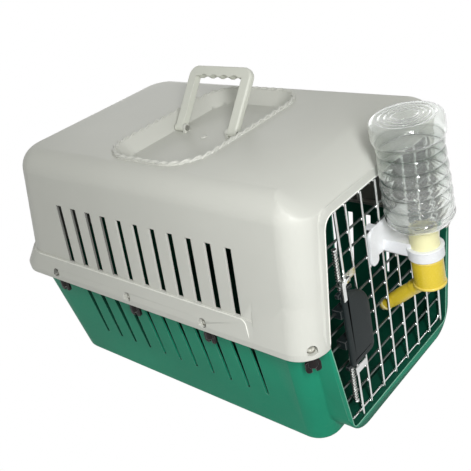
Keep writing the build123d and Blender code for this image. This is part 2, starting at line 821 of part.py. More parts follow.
with BuildPart() as latch_guides:
    guide_left = bolt_x - guide_reach_left
    guide_right = guide_left + guide_width
    for bar in guide_bars:
        add(block(guide_left, guide_right, plate_back, bar_y + wire_radius + guide_back,
                  bar_heights[bar] - guide_thickness / 2, bar_heights[bar] + guide_thickness / 2))
    stop = block(guide_left, guide_right, plate_back, plate_back + stop_depth,
                 stop_reach - stop_thickness, stop_reach)
    add(set_up(stop))
    add(set_down(stop))
    for x in (bolt_x, leg_x):
        add(rod(x, latch_y, latch_middle - plate_half_height, latch_middle + plate_half_height,
                latch_rod_radius + guide_play), mode=Mode.SUBTRACT)
    add(horizontal_wires.part, mode=Mode.SUBTRACT)
latch_guides.part.label = "latch_guides"
export_step(latch_guides.part, "parts/latch_guides.step")

with BuildPart() as latch_plate:
    with BuildSketch(Plane.XZ.offset(-plate_back)) as plate_face:
        with Locations((plate_left + plate_width / 2, latch_middle)):
            Rectangle(plate_width, 2 * plate_half_height)
        fillet(plate_face.vertices().group_by(Axis.Y)[0], plate_low_corner)
        fillet(plate_face.vertices().group_by(Axis.Y)[-1], plate_corner)
    extrude(amount=plate_thickness)
    fillet(latch_plate.edges().group_by(Axis.Y)[0], plate_edge)
latch_plate.part.label = "latch_plate"
export_step(latch_plate.part, "parts/latch_plate.step")

# Drinking bottle with its socket, seal and cup, drawn upright on the bottle's own axis
dispenser_x = first_wire + (dispenser_bay + 1 / 2) * wire_pitch + dispenser_shift
dispenser_y = door_plane - dispenser_reach
dispenser_height = (bar_heights[dispenser_bay] + bar_heights[dispenser_bay + 1]) / 2 + dispenser_rise
dispenser = Location((dispenser_x, dispenser_y, dispenser_height), (-dispenser_lean, -dispenser_tilt, 0))
neck_end = socket_floor + seal_thickness


def bottle_section(inset):
    """The points of half the bottle's section, base up, inset from its outer face."""
    rib_pitch = (bottle_base - bottle_heel - bottle_body_low) / rib_count
    points = [(0, neck_end), (neck_radius - inset, neck_end), (neck_radius - inset, shoulder_low + inset / 2),
              (bottle_radius - inset, bottle_body_low + inset / 2)]
    for step in range(rib_count):
        middle = bottle_body_low + (step + 1 / 2) * rib_pitch
        points += [(bottle_radius - inset, middle - rib_run / 2),
                   (bottle_radius - rib_depth - inset, middle),
                   (bottle_radius - inset, middle + rib_run / 2)]
    points += [(bottle_radius - inset, bottle_base - bottle_heel),
               (bottle_radius - bottle_heel, bottle_base - inset),
               (dimple_radius, bottle_base - inset), (0, bottle_base - dimple_depth - inset)]
    return points


with BuildPart() as bottle_solid:
    with BuildSketch(Plane.XZ):
        Polygon(*bottle_section(0), align=None)
        Polygon(*bottle_section(bottle_wall), align=None, mode=Mode.SUBTRACT)
    revolve(axis=Axis.Z)
with BuildPart() as bottle:
    add(bottle_solid.part.moved(dispenser))
bottle.part.label = "bottle"
export_step(bottle.part, "parts/bottle.step")

with BuildPart() as bottle_cap:
    add(swept_tube(socket_radius, socket_radius - socket_wall, socket_floor, socket_top).moved(dispenser))
    add(swept_tube(socket_radius, seal_bore, socket_floor - socket_web, socket_floor).moved(dispenser))
    add(swept_tube(socket_radius, socket_radius - socket_wall, socket_bottom,
                   socket_floor - socket_web).moved(dispenser))
bottle_cap.part.label = "bottle_cap"
export_step(bottle_cap.part, "parts/bottle_cap.step")

with BuildPart() as cap_seal:
    add(swept_tube(neck_radius, seal_bore, socket_floor, neck_end).moved(dispenser))
cap_seal.part.label = "cap_seal"
export_step(cap_seal.part, "parts/cap_seal.step")

# Cup, tube and mouthpiece. The tube has its own axis, which falls from the cup to the inside
tube_axis = Location((dispenser_x, dispenser_y, dispenser_height + tube_place)) * Location(
    (0, 0, 0), (-90 - tube_fall, 0, 0))
with BuildPart() as cup_body:
    add(swept_tube(cup_radius, 0, cup_bottom, collar_bottom))
    fillet(cup_body.edges().group_by(Axis.Z)[0], cup_corner)
    add(swept_tube(socket_radius, 0, collar_bottom, socket_bottom))
with BuildPart() as cup_hollow:
    add(swept_tube(cup_radius - cup_wall, 0, cup_bottom + cup_wall, collar_bottom - cup_wall))
    add(swept_tube(socket_radius - socket_wall, 0, cup_bottom + cup_wall, socket_bottom))
with BuildPart() as valve_cup:
    add(cup_body.part.moved(dispenser))
    add(swept_tube(spigot_radius, 0, 0, spigot_length).moved(tube_axis))
    add(cup_hollow.part.moved(dispenser), mode=Mode.SUBTRACT)
    add(swept_tube(tube_radius + seat_play, 0, tube_entry, 2 * spigot_length).moved(tube_axis),
        mode=Mode.SUBTRACT)
    add(swept_tube(tube_bore, 0, 0, spigot_length).moved(tube_axis), mode=Mode.SUBTRACT)
valve_cup.part.label = "valve_cup"
export_step(valve_cup.part, "parts/valve_cup.step")

with BuildPart() as drinking_tube:
    add(swept_tube(tube_radius, tube_bore, tube_entry, tube_length).moved(tube_axis))
drinking_tube.part.label = "drinking_tube"
export_step(drinking_tube.part, "parts/drinking_tube.step")

nozzle_start = tube_length - nozzle_lap
nozzle_end = nozzle_start + nozzle_length
with BuildPart() as tube_nozzle:
    add(swept_tube(tube_bore - seat_play, ball_radius + ball_play, nozzle_start,
                   tube_length).moved(tube_axis))
    add(swept_tube(nozzle_radius, ball_radius + ball_play, tube_length,
                   nozzle_end - nozzle_lip).moved(tube_axis))
    add(swept_tube(nozzle_radius, nozzle_bore, nozzle_end - nozzle_lip, nozzle_end).moved(tube_axis))
tube_nozzle.part.label = "tube_nozzle"
export_step(tube_nozzle.part, "parts/tube_nozzle.step")

ball_seat = nozzle_end - nozzle_lip - (ball_radius ** 2 - nozzle_bore ** 2) ** 0.5 - ball_rest_gap
with BuildPart() as ball_solid:
    with Locations((0, 0, ball_seat)):
        Sphere(ball_radius)
with BuildPart() as valve_ball:
    add(ball_solid.part.moved(tube_axis))
valve_ball.part.label = "valve_ball"
export_step(valve_ball.part, "parts/valve_ball.step")

# Holder: a plate on the uprights with two hooks over a cross wire, and an arm to the collar
holder_left = dispenser_x - holder_reach_left
holder_right = dispenser_x + holder_reach_right
holder_bottom = dispenser_height + holder_lift
hook_height = bar_heights[hook_bar] + wire_radius + hook_play + hook_wall
hook_inner = bar_y + wire_radius + hook_play
with BuildPart() as bottle_holder:
    with BuildSketch(Plane.XZ.offset(-door_front)) as holder_face:
        Polygon((holder_left, holder_bottom), (holder_left + lobe_width, holder_bottom),
                (holder_left + lobe_width, holder_bottom + lobe_drop),
                (holder_right, holder_bottom + lobe_drop), (holder_right, hook_height),
                (holder_left, hook_height), align=None)
        fillet(holder_face.vertices().group_by(Axis.Y)[-1], holder_corner)
        fillet(holder_face.vertices().group_by(Axis.Y)[0], lobe_corner)
    extrude(amount=holder_thickness)
    for bay in hook_bays:
        place = first_wire + (bay + 1 / 2) * wire_pitch
        add(block(place - hook_width / 2, place + hook_width / 2, door_front, hook_inner + hook_wall,
                  hook_height - hook_wall, hook_height))
        add(block(place - hook_width / 2, place + hook_width / 2, hook_inner, hook_inner + hook_wall,
                  hook_height - hook_wall - hook_drop, hook_height))
    add(block(dispenser_x - arm_half_width, dispenser_x + arm_half_width,
              dispenser_y, door_front, dispenser_height + arm_bottom,
              dispenser_height + arm_top))
    add(swept_tube(collar_radius, 0, collar_bottom, collar_top).moved(dispenser))
    add(swept_tube(socket_radius + seat_play, 0, cup_bottom, socket_top).moved(dispenser),
        mode=Mode.SUBTRACT)
bottle_holder.part.label = "bottle_holder"
export_step(bottle_holder.part, "parts/bottle_holder.step")
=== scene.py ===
import json
from math import cos, pi, radians, sin, tau

import bmesh
import bpy
import numpy as np
from mathutils import Matrix, Vector

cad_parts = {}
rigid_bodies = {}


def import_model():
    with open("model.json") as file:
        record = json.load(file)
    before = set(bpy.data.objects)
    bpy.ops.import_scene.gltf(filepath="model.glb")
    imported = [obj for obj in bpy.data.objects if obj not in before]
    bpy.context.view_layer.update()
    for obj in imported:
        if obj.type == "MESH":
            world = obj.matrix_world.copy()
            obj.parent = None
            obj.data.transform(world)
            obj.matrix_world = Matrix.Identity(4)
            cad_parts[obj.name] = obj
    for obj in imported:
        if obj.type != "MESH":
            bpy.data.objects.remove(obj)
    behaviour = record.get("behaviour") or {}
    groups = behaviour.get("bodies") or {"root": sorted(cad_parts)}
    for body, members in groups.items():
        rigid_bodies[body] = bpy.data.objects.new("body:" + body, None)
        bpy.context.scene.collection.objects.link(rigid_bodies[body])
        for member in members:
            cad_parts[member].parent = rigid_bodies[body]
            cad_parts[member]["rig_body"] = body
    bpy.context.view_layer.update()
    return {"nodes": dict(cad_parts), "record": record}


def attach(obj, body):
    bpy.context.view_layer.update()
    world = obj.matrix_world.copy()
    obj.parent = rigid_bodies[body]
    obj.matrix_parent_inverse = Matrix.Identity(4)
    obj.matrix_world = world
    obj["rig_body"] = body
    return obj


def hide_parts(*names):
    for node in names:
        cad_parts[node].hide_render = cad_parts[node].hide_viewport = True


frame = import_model()
nodes = frame["nodes"]

# The photograph's camera, from its solved place and turn
camera_place = Vector((-0.5622, -0.5972, 0.5820))
camera_azimuth = radians(-44.23)
camera_elevation = radians(28.10)
camera_roll = radians(-12.64)
camera_lens = 56.16
camera_sensor = 36

# Colours as they look in the photograph, in 0 to 255
shell_grey = (212, 213, 206)
handle_grey = (222, 224, 214)
tub_green = (34, 143, 112)
# Lip colours, paler than the shells, paint highlights along the edges
edge_highlight_grey = (246, 247, 240)
edge_highlight_green = (120, 186, 160)
cup_yellow = (226, 199, 54)
rim_yellow = (236, 212, 96)
tip_yellow = (226, 214, 150)
cap_yellow = (244, 240, 190)
holder_white = (238, 240, 243)
latch_dark = (20, 30, 31)
nut_dark = (24, 19, 19)
bolt_white = (214, 214, 204)
washer_brown = (120, 116, 102)
rubber_grey = (190, 190, 184)
wire_bright = (222, 224, 222)
# The back wires are coloured darker than the front ones as painted shade
wire_shaded = (100, 106, 103)
# The welds are paler than the wire as a painted glint
weld_glint = (246, 248, 247)
spring_grey = (186, 186, 182)
pin_grey = (170, 170, 166)
bottle_tint = (253, 255, 253)
# The grey of the bottle's grooves is painted shade
groove_shade_tint = (160, 172, 162)
floor_pale = (205, 205, 205)

# Welding and smoothing of meshes, in metres and degrees
weld_distance = 2e-6
smallest_edge = 1e-7
sharp_angle = 32
crisp_angle = 12
# The dot product below which a face of a shell looks inwards
inward_limit = -0.25


# Small helpers for meshes

def linear(colour):
    """A screen colour in 0 to 255 as the linear RGBA that a shader reads."""
    share = np.array(colour, float) / 255
    value = np.where(share <= 0.04045, share / 12.92, ((share + 0.055) / 1.055) ** 2.4)
    return (*value.tolist(), 1.0)


def body_of(node):
    """The CAD body that a node belongs to."""
    return nodes[node]["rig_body"]


def weld(shape):
    """Merges the doubled points of a bmesh and takes out its edges and faces of no size."""
    bmesh.ops.remove_doubles(shape, verts=shape.verts, dist=weld_distance)
    bmesh.ops.dissolve_degenerate(shape, dist=smallest_edge, edges=shape.edges)


def mesh_object(name, points, faces, body, material, smooth):
    """A new piece from arrays of points and faces, at the origin. It is welded, its faces are
    turned outwards, it is smooth up to an angle in degrees, and it rides on a CAD body."""
    mesh = bpy.data.meshes.new(name)
    mesh.from_pydata(points.tolist(), [], [list(face) for face in faces])
    mesh.update()
    piece = bpy.data.objects.new(name, mesh)
    bpy.context.scene.collection.objects.link(piece)
    shape = bmesh.new()
    shape.from_mesh(mesh)
    weld(shape)
    bmesh.ops.recalc_face_normals(shape, faces=shape.faces)
    shape.to_mesh(mesh)
    shape.free()
    mesh.shade_smooth()
    mesh.set_sharp_from_angle(angle=radians(smooth))
    mesh.materials.append(material)
    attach(piece, body)
    return piece


def grid_faces(rows, columns, wrap_rows=False):
    """The quads of a grid of points, row after row. Its columns are closed round, and its rows too
    where wrap_rows says so."""
    i, j = np.meshgrid(np.arange(rows if wrap_rows else rows - 1), np.arange(columns),
                       indexing="ij")
    i, j = i.ravel(), j.ravel()
    below, beside = (i + 1) % rows, (j + 1) % columns
    return np.stack([i * columns + j, i * columns + beside, below * columns + beside,
                     below * columns + j], axis=1)


def capped_faces(rows, columns, first=True):
    """The quads of a grid and one face over its last row, and over its first too unless first is
    False."""
    faces = grid_faces(rows, columns).tolist()
    if first:
        faces.append(list(range(columns))[::-1])
    faces.append(list(range((rows - 1) * columns, rows * columns)))
    return faces


def mark_inside_for_shade(mesh, middle):
    """Writes a face attribute: 1 where a face looks towards the middle of its shell, else 0. The
    test is the dot product of the face's normal and its direction from the middle, below a limit.
    The attribute masks the painted shade on the inner faces."""
    count = len(mesh.polygons)
    centre, normal = np.empty(3 * count), np.empty(3 * count)
    mesh.polygons.foreach_get("center", centre)
    mesh.polygons.foreach_get("normal", normal)
    outward = centre.reshape(-1, 3) - np.array(middle)
    outward /= np.linalg.norm(outward, axis=1, keepdims=True)
    towards = np.sum(outward * normal.reshape(-1, 3), axis=1)
    flag = np.where(towards < inward_limit, 1.0, 0.0).astype(np.float32)
    mesh.attributes.new("inside", "FLOAT", "FACE").data.foreach_set("value", flag)


def sharp_edges(mesh, angle):
    """The edges that turn by more than an angle in degrees, as an array of True and False."""
    mesh.set_sharp_from_angle(angle=radians(angle))
    found = np.zeros(len(mesh.edges), bool)
    if "sharp_edge" in mesh.attributes:
        mesh.attributes["sharp_edge"].data.foreach_get("value", found)
    return found


def crisp_where(mesh, boxes):
    """Marks the edges that turn by more than the sharp angle, and those that turn by more than the
    crisp angle where an edge's middle lies in one of the boxes."""
    small, large = sharp_edges(mesh, crisp_angle), sharp_edges(mesh, sharp_angle)
    place = np.zeros(len(mesh.vertices) * 3)
    mesh.vertices.foreach_get("co", place)
    ends = np.zeros(len(mesh.edges) * 2, int)
    mesh.edges.foreach_get("vertices", ends)
    middle = place.reshape(-1, 3)[ends.reshape(-1, 2)].mean(axis=1)
    held = np.zeros(len(middle), bool)
    for low, high in boxes:
        held |= np.all((middle > low) & (middle < high), axis=1)
    mesh.attributes["sharp_edge"].data.foreach_set("value", large | (small & held))


def softened(node, material, bevel, middle, slim, crisp):
    """A CAD node's mesh, welded, with its shading weighted by face area. It stands for the node.
    Its sharp edges are rounded where a bevel is given. A shell with a middle gets its inner faces
    marked for painted shade, and a wire is drawn in by slim along its normals. In the crisp boxes
    smaller turns count as sharp too."""
    piece = bpy.data.objects.new(node + "_skin", nodes[node].data.copy())
    bpy.context.scene.collection.objects.link(piece)
    shape = bmesh.new()
    shape.from_mesh(piece.data)
    weld(shape)
    shape.to_mesh(piece.data)
    shape.free()
    if middle is not None:
        mark_inside_for_shade(piece.data, middle)
    piece.data.shade_smooth()
    if crisp:
        crisp_where(piece.data, crisp)
    else:
        piece.data.set_sharp_from_angle(angle=radians(sharp_angle))
    piece.data.materials.clear()
    piece.data.materials.append(material)
    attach(piece, body_of(node))
    if bevel > 0:
        rounding = piece.modifiers.new("rounding", "BEVEL")
        rounding.width = bevel
        rounding.segments = 2
        rounding.limit_method = "ANGLE"
        rounding.angle_limit = radians(sharp_angle)
        rounding.miter_outer = "MITER_ARC"
    if slim > 0:
        drawn = piece.modifiers.new("drawn in", "DISPLACE")
        drawn.mid_level = 0.0
        drawn.strength = -slim
    shading = piece.modifiers.new("shading", "WEIGHTED_NORMAL")
    shading.keep_sharp = True
    shading.weight = 80
    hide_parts(node)


# Shader node groups that several finishes share. Scales are in waves per metre, and a span is the
# part of a value's run that counts.

noise_span = (0.3, 0.7)
streak_span = (0.62, 0.78)
edge_span = (0.995, 0.85)
grain_scale, sag_scale, sag_share = 900.0, 9.0, 0.5
tone_scale, streak_scale, break_scale = 7.0, 60.0, 110.0
streak_stretch = (1.0, 0.35, 2.2)
dust_colour = (0.62, 0.62, 0.58, 1)
# The edge mask and its paler colour paint a highlight on the edges
edge_radius, unbroken_share, edge_highlight_share = 0.0009, 0.4, 0.35
highlight_share, highlight_lift = 0.35, 0.6


def new_group(name, inputs, outputs):
    """An empty shader node group with named float or colour sockets."""
    group = bpy.data.node_groups.new(name, "ShaderNodeTree")
    for label, kind, value in inputs:
        socket = group.interface.new_socket(label, in_out="INPUT", socket_type=kind)
        socket.default_value = value
    for label, kind in outputs:
        group.interface.new_socket(label, in_out="OUTPUT", socket_type=kind)
    return group, group.nodes.new("NodeGroupInput"), group.nodes.new("NodeGroupOutput")


def add_node(tree, kind, feeds=(), **settings):
    """Adds a node, makes its settings, and sets or links each input, named or numbered."""
    node = tree.nodes.new(kind)
    for key, value in settings.items():
        setattr(node, key, value)
    for socket, value in feeds:
        if isinstance(value, bpy.types.NodeSocket):
            tree.links.new(value, node.inputs[socket])
        else:
            node.inputs[socket].default_value = value
    return node


def noise(tree, place, scale, detail, roughness=0.5):
    """Smooth noise from 0 to 1 at a place."""
    return add_node(tree, "ShaderNodeTexNoise", [("Vector", place), ("Scale", scale),
                                                 ("Detail", detail),
                                                 ("Roughness", roughness)]).outputs["Fac"]


def remapped(tree, value, span, low, high):
    """A value that runs over a span, carried to the run from low to high and held within it."""
    return add_node(tree, "ShaderNodeMapRange", [("Value", value), (1, span[0]), (2, span[1]),
                                                 (3, low), (4, high)]).outputs[0]


def calculated(tree, operation, first, second):
    """One step of arithmetic on two values."""
    return add_node(tree, "ShaderNodeMath", [(0, first), (1, second)],
                    operation=operation).outputs[0]


def scaled(tree, colour, factor):
    """A colour times a factor."""
    return add_node(tree, "ShaderNodeVectorMath", [(0, colour), ("Scale", factor)],
                    operation="SCALE").outputs[0]


def mixed(tree, share, first, second):
    """Two colours mixed by a share from 0, all first, to 1, all second."""
    return add_node(tree, "ShaderNodeMix", [("Factor", share), ("A", first), ("B", second)],
                    data_type="RGBA").outputs["Result"]


def make_grain_group():
    """Moulded grain on Object coordinates. The height is a fine noise plus a share of a slow one,
    and the mask from 0 to 1 is the fine noise."""
    group, inner, outer = new_group(
        "moulded grain",
        [("Grain Scale", "NodeSocketFloat", grain_scale),
         ("Sag Scale", "NodeSocketFloat", sag_scale), ("Sag", "NodeSocketFloat", sag_share)],
        [("Height", "NodeSocketFloat"), ("Mask", "NodeSocketFloat")])
    place = add_node(group, "ShaderNodeTexCoord").outputs["Object"]
    fine = noise(group, place, inner.outputs["Grain Scale"], 3.0)
    slow = noise(group, place, inner.outputs["Sag Scale"], 1.0)
    swell = calculated(group, "MULTIPLY", slow, inner.outputs["Sag"])
    group.links.new(calculated(group, "ADD", fine, swell), outer.inputs["Height"])
    group.links.new(fine, outer.inputs["Mask"])
    return group


def make_tone_group():
    """Uneven tone: a colour times 1 plus a slow noise, with faint scuffs and dust in streaks where
    a stretched noise is high."""
    group, inner, outer = new_group(
        "uneven tone",
        [("Colour", "NodeSocketColor", (0.5, 0.5, 0.5, 1)), ("Drift", "NodeSocketFloat", 0.08),
         ("Scale", "NodeSocketFloat", tone_scale), ("Scuffs", "NodeSocketFloat", 0.1)],
        [("Colour", "NodeSocketColor")])
    place = add_node(group, "ShaderNodeTexCoord").outputs["Object"]
    cloud = noise(group, place, inner.outputs["Scale"], 4.0)
    swing = remapped(group, cloud, noise_span, -1.0, 1.0)
    amount = calculated(group, "MULTIPLY", swing, inner.outputs["Drift"])
    toned = scaled(group, inner.outputs["Colour"], calculated(group, "ADD", amount, 1.0))
    stretch = add_node(group, "ShaderNodeMapping", [("Vector", place), ("Scale", streak_stretch)])
    streak = noise(group, stretch.outputs[0], streak_scale, 6.0, roughness=0.65)
    mask = remapped(group, streak, streak_span, 0.0, 1.0)
    strength = calculated(group, "MULTIPLY", mask, inner.outputs["Scuffs"])
    group.links.new(mixed(group, strength, toned, dust_colour), outer.inputs["Colour"])
    return group


def make_edge_highlight_group():
    """Edge highlight: a mask that is 1 where the surface turns sharply within about a millimetre,
    from the dot product of the rounded normal and the true one, broken up by noise. It paints edges
    paler as a painted highlight."""
    group, inner, outer = new_group(
        "edge highlight",
        [("Radius", "NodeSocketFloat", edge_radius), ("Break", "NodeSocketFloat", unbroken_share)],
        [("Mask", "NodeSocketFloat"), ("Normal", "NodeSocketVector")])
    turned = add_node(group, "ShaderNodeBevel", [("Radius", inner.outputs["Radius"])], samples=6)
    surface = add_node(group, "ShaderNodeNewGeometry")
    match = add_node(group, "ShaderNodeVectorMath",
                     [(0, turned.outputs[0]), (1, surface.outputs["Normal"])],
                     operation="DOT_PRODUCT")
    edge = remapped(group, match.outputs["Value"], edge_span, 0.0, 1.0)
    place = add_node(group, "ShaderNodeTexCoord").outputs["Object"]
    broken = remapped(group, noise(group, place, break_scale, 2.0), noise_span,
                      inner.outputs["Break"], 1.0)
    group.links.new(calculated(group, "MULTIPLY", edge, broken), outer.inputs["Mask"])
    group.links.new(turned.outputs[0], outer.inputs["Normal"])
    return group


edge_highlight_group = make_edge_highlight_group()
grain_group = make_grain_group()
tone_group = make_tone_group()


def place_group(tree, group, **values):
    """Places a shared group in a material with its own values."""
    node = tree.nodes.new("ShaderNodeGroup")
    node.node_tree = group
    for label, value in values.items():
        node.inputs[label.replace("_", " ")].default_value = value
    return node


def new_material(name):
    """A material with its Principled shader."""
    material = bpy.data.materials.new(name)
    material.use_nodes = True
    return material, material.node_tree, material.node_tree.nodes["Principled BSDF"]


def set_surface(tree, shader, skin, smoothest, roughest, bump, distance, normal=None):
    """Roughness between two values by the grain's mask, and a bump by its height, on top of a
    normal where one is given."""
    rough = remapped(tree, skin.outputs["Mask"], noise_span, smoothest, roughest)
    tree.links.new(rough, shader.inputs["Roughness"])
    relief = add_node(tree, "ShaderNodeBump", [("Height", skin.outputs["Height"]),
                                               ("Strength", bump), ("Distance", distance)])
    if normal is not None:
        tree.links.new(normal, relief.inputs["Normal"])
    tree.links.new(relief.outputs["Normal"], shader.inputs["Normal"])


def moulded_plastic(name, colour, roughness, drift, scuffs, bump=0.12, inner=1.0, gloss=0.45):
    """Injection-moulded plastic: drifting tone, faint scuffs, fine grain, a slow sag of the surface
    and rounded edges that are painted pale as a painted highlight. Faces marked as inside keep the
    share inner of their colour, as painted shade."""
    material, tree, shader = new_material(name)
    tone = place_group(tree, tone_group, Colour=linear(colour), Drift=drift, Scuffs=scuffs)
    edge_light = place_group(tree, edge_highlight_group)
    pale = tuple(highlight_share * part + highlight_lift for part in linear(colour)[:3]) + (1,)
    highlight_amount = calculated(tree, "MULTIPLY", edge_light.outputs["Mask"], edge_highlight_share)
    edge_lit = mixed(tree, highlight_amount, tone.outputs["Colour"], pale)
    # Painted shade: faces marked as inside are darkened to the share inner of their colour
    inside = add_node(tree, "ShaderNodeAttribute", attribute_name="inside").outputs["Fac"]
    shaded = scaled(tree, edge_lit, remapped(tree, inside, (0.0, 1.0), 1.0, inner))
    tree.links.new(shaded, shader.inputs["Base Color"])
    skin = place_group(tree, grain_group)
    set_surface(tree, shader, skin, roughness - 0.07, roughness + 0.07, bump=bump,
                distance=0.0006, normal=edge_light.outputs["Normal"])
    shader.inputs["Specular IOR Level"].default_value = gloss
    return material


def drawn_wire(name, colour, roughness):
    """Plated wire: bright metal with fine draw marks and dull patches."""
    material, tree, shader = new_material(name)
    tone = place_group(tree, tone_group, Colour=linear(colour), Drift=0.12, Scale=40.0, Scuffs=0.0)
    tree.links.new(tone.outputs["Colour"], shader.inputs["Base Color"])
    skin = place_group(tree, grain_group, Grain_Scale=1500.0, Sag_Scale=60.0, Sag=1.0)
    set_surface(tree, shader, skin, roughness - 0.06, roughness + 0.1, bump=0.15, distance=0.0003)
    shader.inputs["Metallic"].default_value = 1.0
    return material


def clear_bottle(name):
    """Thin clear bottle plastic: see-through, greyer in the grooves that the mesh marks as painted
    shade, with a faint unevenness in its surface."""
    material, tree, shader = new_material(name)
    for label, value in (("Transmission Weight", 0.96), ("IOR", 1.42), ("Coat Weight", 0.6),
                         ("Coat Roughness", 0.12)):
        shader.inputs[label].default_value = value
    depth = add_node(tree, "ShaderNodeAttribute", attribute_name="groove").outputs["Fac"]
    tint = mixed(tree, depth, linear(bottle_tint), linear(groove_shade_tint))
    tree.links.new(tint, shader.inputs["Base Color"])
    skin = place_group(tree, grain_group, Grain_Scale=90.0, Sag_Scale=30.0, Sag=1.5)
    set_surface(tree, shader, skin, 0.02, 0.06, bump=0.06, distance=0.0008)
    return material


finishes = {
    # inner darkens the inner faces of a shell as painted shade
    "shell_grey": moulded_plastic("shell grey", shell_grey, 0.45, drift=0.03, scuffs=0.05,
                                  inner=0.34, gloss=0.3),
    "handle_grey": moulded_plastic("handle grey", handle_grey, 0.38, drift=0.02, scuffs=0.05),
    "shell_green": moulded_plastic("shell green", tub_green, 0.5, drift=0.12, scuffs=0.04,
                                   inner=0.28, gloss=0.1),
    "edge_highlight_grey": moulded_plastic("edge highlight grey", edge_highlight_grey, 0.3, drift=0.02, scuffs=0.0),
    "edge_highlight_green": moulded_plastic("edge highlight green", edge_highlight_green, 0.3, drift=0.04, scuffs=0.0),
    "cup_rim": moulded_plastic("cup rim", rim_yellow, 0.22, drift=0.04, scuffs=0.0, bump=0.06),
    "tube_tip": moulded_plastic("tube tip", tip_yellow, 0.25, drift=0.04, scuffs=0.0, bump=0.06),
    "bolt_white": moulded_plastic("bolt white", bolt_white, 0.35, drift=0.05, scuffs=0.1),
    "washer_worn": moulded_plastic("worn washer", washer_brown, 0.5, drift=0.2, scuffs=0.1),
    "nut_dark": moulded_plastic("nut dark", nut_dark, 0.5, drift=0.1, scuffs=0.05, gloss=0.2),
    "latch_dark": moulded_plastic("latch dark", latch_dark, 0.5, drift=0.12, scuffs=0.06,
                                  bump=0.3, gloss=0.2),
    "cap_yellow": moulded_plastic("cap yellow", cap_yellow, 0.35, drift=0.03, scuffs=0.02),
    "cup_yellow": moulded_plastic("cup yellow", cup_yellow, 0.25, drift=0.05, scuffs=0.03,
                                  bump=0.06),
    "holder_white": moulded_plastic("holder white", holder_white, 0.25, drift=0.02, scuffs=0.02,
                                    bump=0.06),
    "seal_rubber": moulded_plastic("seal rubber", rubber_grey, 0.7, drift=0.05, scuffs=0.0),
    "wire_chrome": drawn_wire("plated wire", wire_bright, 0.2),
    "wire_painted_shade": drawn_wire("shaded back wire", wire_shaded, 0.32),
    "weld_glint": drawn_wire("weld glint", weld_glint, 0.1),
    "spring_steel": drawn_wire("spring steel", spring_grey, 0.3),
    "steel_pin": drawn_wire("steel pin", pin_grey, 0.35),
    "bottle_clear": clear_bottle("clear bottle"),
}

slot_of = {entry["node"]: entry["material_slot"] for entry in frame["record"]["subparts"]}
for name, node in nodes.items():
    node.data.materials.clear()
    node.data.materials.append(finishes[slot_of[name]])

# CAD nodes that a softened copy stands for
skinned_nodes = ("roof_shell", "tub", "carry_handle", "handle_ears", "latch_guides",
                 "bottle_holder", "wing_nuts", "flange_bolts", "upper_latch_bolt",
                 "lower_latch_bolt", "valve_cup", "bottle_cap", "tube_nozzle", "drinking_tube",
                 "door_frame_wire", "horizontal_wires", "vertical_wires", "hinge_rod",
                 "upper_latch_spring", "lower_latch_spring", "bolt_washers")
bevels = {"carry_handle": 0.0012}
# The middles of the shells whose inner faces get painted shade
shell_middles = {"roof_shell": (0, 0, 0.17), "tub": (0, 0, 0.1)}
skirt_box = ((-0.2, -0.3, 0.13), (0.2, 0.3, 0.178))
recess_box = ((-0.112, -0.088, 0.2), (0.112, 0.062, 0.3035))
crisp_boxes = {"roof_shell": (skirt_box, recess_box)}
slim_wires = {"horizontal_wires": 0.0004, "vertical_wires": 0.0003, "door_frame_wire": 0.0003}
# The horizontal wires take the darker wire colour as painted shade behind the uprights
skin_finishes = {"horizontal_wires": finishes["wire_painted_shade"],
                 "bolt_washers": finishes["washer_worn"]}
for name in skinned_nodes:
    softened(name, skin_finishes.get(name, finishes[slot_of[name]]),
             bevels.get(name, 0.0), shell_middles.get(name), slim_wires.get(name, 0.0),
             crisp_boxes.get(name, ()))


# Pieces worked out as surfaces. Each sits on the solid whose sizes are repeated here.

def tilt(about_x, about_y=0.0):
    """A turn by two angles in degrees, first about Y and then about X."""
    return np.array(Matrix.Rotation(radians(about_x), 3, "X")
                    @ Matrix.Rotation(radians(about_y), 3, "Y"))


recess_half = np.array((0.1065, 0.0685))
recess_corner = 0.0405
recess_centre = np.array((0.0, -0.013))
rim_top = 0.3024
bar_heights = np.array((0.0514, 0.0709, 0.0964, 0.1242, 0.1429, 0.1616, 0.1894, 0.2149, 0.2344))
upright_x = -0.0626 + 0.027 * np.arange(6)
weld_y = -0.2340
frame_wire_heights = np.array((0.0222, 0.2640))
hinge_x = 0.0994
dispenser_place = np.array((0.0004, -0.2810, 0.1700))
dispenser_turn = tilt(-2.0, -1.5)
bottle_turn = tilt(-2.0, -2.7)
tube_drop = 41
tube_place = dispenser_place + dispenser_turn @ np.array((0, 0, -0.015))
tube_turn = tilt(-90 - tube_drop)
seam, sill = 0.1410, 0.0195
opening_seam, opening_sill, opening_head = 0.1229, 0.1050, 0.1020
opening_face, opening_high = -0.2399, 0.2705
skirt_x, ledge_x, ledge_z = 0.1565, 0.1509, 0.1675
ledge_back, ledge_front, ledge_end = 0.187, -0.161, -0.1665
plate_left, plate_right = -0.0965, -0.0535
plate_low, plate_high, plate_high_right = 0.0940, 0.1895, 0.1660
plate_front, plate_back = -0.2429, -0.2400


def even_points(points, at, length):
    """Points at given lengths along a run of straight steps."""
    return np.stack([np.interp(at, length, column) for column in points.T], axis=1)


def run_length(points):
    """The length along a run of straight steps, from 0 at its first point."""
    return np.concatenate([[0], np.cumsum(np.linalg.norm(np.diff(points, axis=0), axis=1))])


def closed_direction(place):
    """The unit direction along a closed run at each of its points."""
    ahead = np.roll(place, -1, axis=0) - np.roll(place, 1, axis=0)
    return ahead / np.linalg.norm(ahead, axis=1, keepdims=True)


